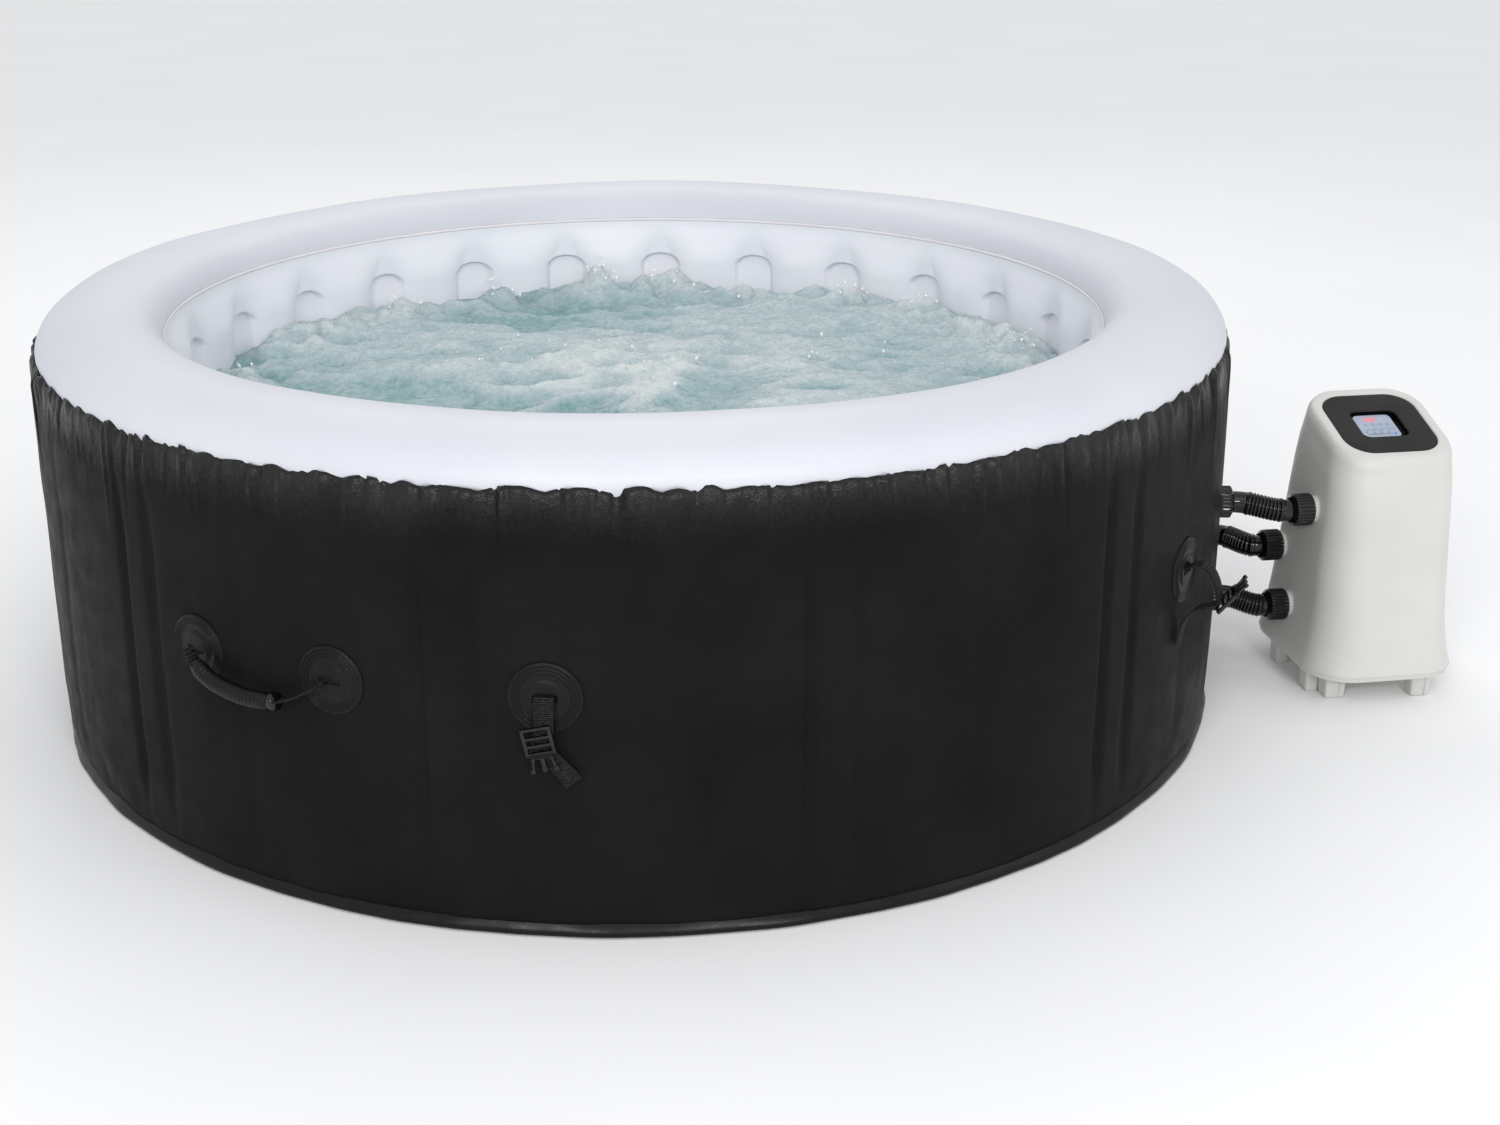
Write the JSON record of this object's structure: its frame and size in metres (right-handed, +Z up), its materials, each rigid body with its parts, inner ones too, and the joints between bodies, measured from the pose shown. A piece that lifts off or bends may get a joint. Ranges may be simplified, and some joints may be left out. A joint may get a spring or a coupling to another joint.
{
  "type": "inflatable hot tub",
  "caption": "Round inflatable hot tub with a soft ring wall, padded basin, carry handles, cover straps, hoses and a free-standing heater pump.",
  "frame": {"origin": "centre of the tub on the ground, on the underside of the base sheet", "axes": "+Z up, +X from the tub toward the heater pump, -Y toward the front carry handle and the front cover strap"},
  "size_m": [2.1801, 1.8306, 0.64],
  "materials": {
    "white_pvc": "satin white PVC sheet",
    "black_pvc": "grained black PVC sheet",
    "black_rubber": "satin moulded rubber",
    "webbing": "woven webbing",
    "black_plastic": "glossy black moulding",
    "cream_plastic": "satin cream-white moulding",
    "grey_plastic": "matt grey moulding",
    "display_glass": "pale film over a display",
    "motor_steel": "motor can",
    "filter_paper": "pleated filter paper"
  },
  "bodies": {
    "tub": {"rim_ring": "white_pvc", "inner_wall": "white_pvc", "floor_sheet": "white_pvc", "bubble_channel": "white_pvc", "beam_web": "white_pvc", "tub_base": "black_pvc", "base_hem": "black_pvc", "outer_wall": "black_pvc", "tub_port_1": "cream_plastic", "pump_port_1": "cream_plastic", "hose_1": "black_plastic", "tub_port_2": "cream_plastic", "pump_port_2": "cream_plastic", "hose_2": "black_plastic", "tub_port_3": "cream_plastic", "pump_port_3": "cream_plastic", "hose_3": "black_plastic", "air_valve": "grey_plastic", "drain_valve": "grey_plastic", "filter_cartridge": "filter_paper", "handle_patch_1": "black_pvc", "lock_patch_1": "black_pvc", "handle_patch_2": "black_pvc", "lock_patch_2": "black_pvc", "handle_patch_3": "black_pvc", "lock_patch_3": "black_pvc", "handle_patch_4": "black_pvc", "lock_patch_4": "black_pvc", "cable_gland": "black_plastic", "pump_shell": "cream_plastic", "pump_base": "cream_plastic", "panel_bezel": "grey_plastic", "display_tray": "black_plastic", "display_panel": "display_glass", "pump_volute": "grey_plastic", "pump_motor": "motor_steel"},
    "handle_1": {"handle_grip_1": "black_rubber"},
    "handle_2": {"handle_grip_2": "black_rubber"},
    "lock_1": {"lock_strap_1": "webbing", "lock_buckle_1": "black_plastic"},
    "lock_2": {"lock_strap_2": "webbing", "lock_buckle_2": "black_plastic"},
    "lock_3": {"lock_strap_3": "webbing", "lock_buckle_3": "black_plastic"},
    "lock_4": {"lock_strap_4": "webbing", "lock_buckle_4": "black_plastic"},
    "pump_nut_1": {"pump_nut_1": "black_plastic"},
    "tub_nut_1": {"tub_nut_1": "black_plastic"},
    "pump_nut_2": {"pump_nut_2": "black_plastic"},
    "tub_nut_2": {"tub_nut_2": "black_plastic"},
    "pump_nut_3": {"pump_nut_3": "black_plastic"},
    "tub_nut_3": {"tub_nut_3": "black_plastic"},
    "air_valve_cap": {"air_valve_cap": "black_plastic"},
    "drain_cap": {"drain_cap": "black_plastic"},
    "key_1": {"key_1": "grey_plastic"},
    "key_2": {"key_2": "grey_plastic"},
    "key_3": {"key_3": "grey_plastic"},
    "key_4": {"key_4": "grey_plastic"},
    "impeller": {"pump_impeller": "black_plastic"}
  },
  "joints": [
    {"name": "handle_1_swing", "type": "hinge", "parent": "tub", "child": "handle_1", "pos_m": [-0.40368, -0.81679, 0.328], "axis": [-0.8965, 0.4431, 0], "range_deg": [0, 140]},
    {"name": "handle_2_swing", "type": "hinge", "parent": "tub", "child": "handle_2", "pos_m": [0.40368, 0.81679, 0.328], "axis": [0.8965, -0.4431, 0], "range_deg": [0, 140]},
    {"name": "lock_1_swing", "type": "hinge", "parent": "tub", "child": "lock_1", "pos_m": [-0.03324, -0.90639, 0.34], "axis": [-0.9993, 0.0366, 0], "range_deg": [0, 120]},
    {"name": "lock_2_swing", "type": "hinge", "parent": "tub", "child": "lock_2", "pos_m": [0.79709, -0.43278, 0.34], "axis": [-0.4772, -0.8788, 0], "range_deg": [0, 80]},
    {"name": "lock_3_swing", "type": "hinge", "parent": "tub", "child": "lock_3", "pos_m": [0.03324, 0.90639, 0.34], "axis": [0.9993, -0.0366, 0], "range_deg": [0, 120]},
    {"name": "lock_4_swing", "type": "hinge", "parent": "tub", "child": "lock_4", "pos_m": [-0.79709, 0.43278, 0.34], "axis": [0.4772, 0.8788, 0], "range_deg": [0, 80]},
    {"name": "pump_nut_1_turn", "type": "hinge", "parent": "tub", "child": "pump_nut_1", "pos_m": [1.02852, -0.0541, 0.289], "axis": [-0.9781, -0.2079, 0], "continuous": true},
    {"name": "tub_nut_1_turn", "type": "hinge", "parent": "tub", "child": "tub_nut_1", "pos_m": [0.913, -0.05, 0.299], "axis": [1, 0, 0], "continuous": true},
    {"name": "pump_nut_2_turn", "type": "hinge", "parent": "tub", "child": "pump_nut_2", "pos_m": [1.00465, 0.03079, 0.2], "axis": [-0.9781, -0.2079, 0], "continuous": true},
    {"name": "tub_nut_2_turn", "type": "hinge", "parent": "tub", "child": "tub_nut_2", "pos_m": [0.913, 0.062, 0.205], "axis": [1, 0, 0], "continuous": true},
    {"name": "pump_nut_3_turn", "type": "hinge", "parent": "tub", "child": "pump_nut_3", "pos_m": [1.00998, -0.02124, 0.118], "axis": [-0.9781, -0.2079, 0], "continuous": true},
    {"name": "tub_nut_3_turn", "type": "hinge", "parent": "tub", "child": "tub_nut_3", "pos_m": [0.913, -0.015, 0.13], "axis": [1, 0, 0], "continuous": true},
    {"name": "air_valve_cap_turn", "type": "hinge", "parent": "tub", "child": "air_valve_cap", "pos_m": [0.71788, 0.56087, 0.47], "axis": [0.788, 0.6157, 0], "continuous": true},
    {"name": "drain_cap_turn", "type": "hinge", "parent": "tub", "child": "drain_cap", "pos_m": [-0.89109, 0.18941, 0.075], "axis": [-0.9781, 0.2079, 0], "continuous": true},
    {"name": "key_1_press", "type": "slide", "parent": "tub", "child": "key_1", "axis": [-0.0634, 0.2981, -0.9524], "range_m": [0, 0.0008], "stiffness_N_per_m": 300},
    {"name": "key_2_press", "type": "slide", "parent": "tub", "child": "key_2", "axis": [-0.0634, 0.2981, -0.9524], "range_m": [0, 0.0008], "stiffness_N_per_m": 300},
    {"name": "key_3_press", "type": "slide", "parent": "tub", "child": "key_3", "axis": [-0.0634, 0.2981, -0.9524], "range_m": [0, 0.0008], "stiffness_N_per_m": 300},
    {"name": "key_4_press", "type": "slide", "parent": "tub", "child": "key_4", "axis": [-0.0634, 0.2981, -0.9524], "range_m": [0, 0.0008], "stiffness_N_per_m": 300},
    {"name": "impeller_spin", "type": "hinge", "parent": "tub", "child": "impeller", "pos_m": [1.16778, 0.00208, 0.072], "axis": [0, 0, 1], "continuous": true}
  ]
}
